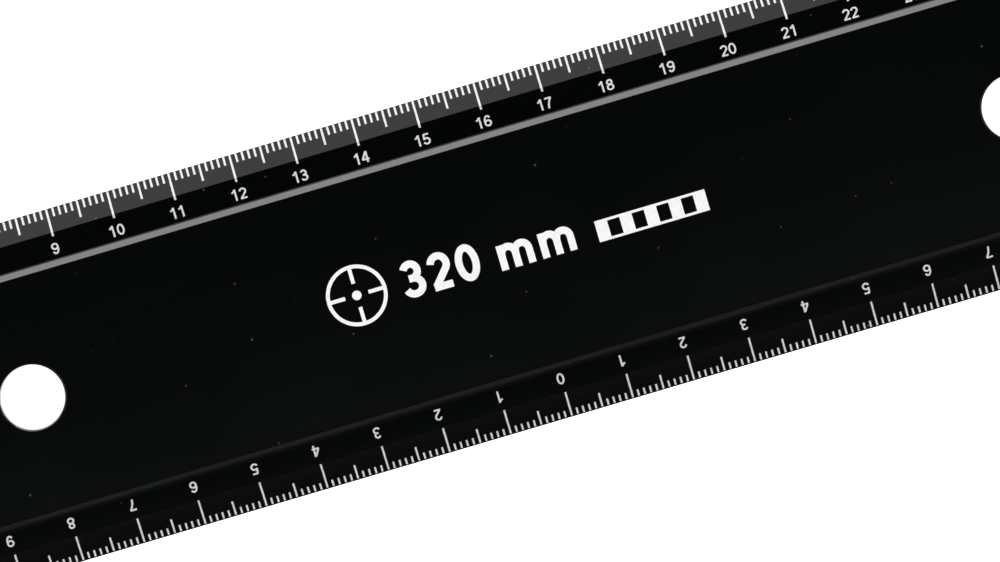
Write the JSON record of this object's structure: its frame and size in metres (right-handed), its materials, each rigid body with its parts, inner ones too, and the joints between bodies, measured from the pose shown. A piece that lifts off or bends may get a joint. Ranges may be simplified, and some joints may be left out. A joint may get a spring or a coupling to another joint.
{
  "type": "combination square",
  "caption": "Combination square: wide stepped bevelled metric rule sliding in a cast head with square and mitre faces, hooked lock bolt, level vial and scriber.",
  "frame": {"origin": "middle of the footprint, on the surface that the head's back lies on", "axes": "+X along the blade from its zero end towards the head, +Y across the blade towards its upper scale, +Z out of the printed front"},
  "size_m": [0.32, 0.1336, 0.022],
  "materials": {
    "black_anodised": "black anodised, fine satin, white printed scales",
    "painted_iron": "black wrinkle paint, reference faces ground bare",
    "steel": "turned, nickel plated",
    "spring_steel": "drawn wire",
    "hardened_steel": "ground and hardened",
    "brass": "turned, lightly tarnished",
    "vial_glass": "clear polished",
    "vial_spirit": "clear yellow-green spirit"
  },
  "bodies": {
    "head": {"head_casting": "painted_iron", "lock_spring": "spring_steel", "lock_washer": "steel", "scriber_bushing": "brass", "vial_tube": "vial_glass", "vial_liquid": "vial_spirit", "vial_cap_left": "brass", "vial_cap_right": "brass"},
    "blade": {"blade": "black_anodised"},
    "lock_bolt": {"lock_bolt": "steel"},
    "lock_nut": {"lock_nut": "steel"},
    "scriber": {"scriber_needle": "hardened_steel", "scriber_knob": "brass"}
  },
  "joints": [
    {"name": "blade_slide", "type": "slide", "parent": "head", "child": "blade", "axis": [1, 0, 0], "range_m": [-0.024, 0.272]},
    {"name": "lock_nut_turn", "type": "hinge", "parent": "head", "child": "lock_nut", "pos_m": [0.12, -0.005, 0.008], "axis": [0, -1, 0], "range_deg": [0, 360]},
    {"name": "lock_bolt_lift", "type": "slide", "parent": "head", "child": "lock_bolt", "axis": [0, 1, 0], "range_m": [0, 0.0008]},
    {"name": "scriber_pull", "type": "slide", "parent": "head", "child": "scriber", "axis": [0, -1, 0], "range_m": [0, 0.055]}
  ],
  "couplings": [
    {"joint": "lock_nut_turn", "follows": "lock_bolt_lift", "rad_per_m": 7853.9}
  ]
}
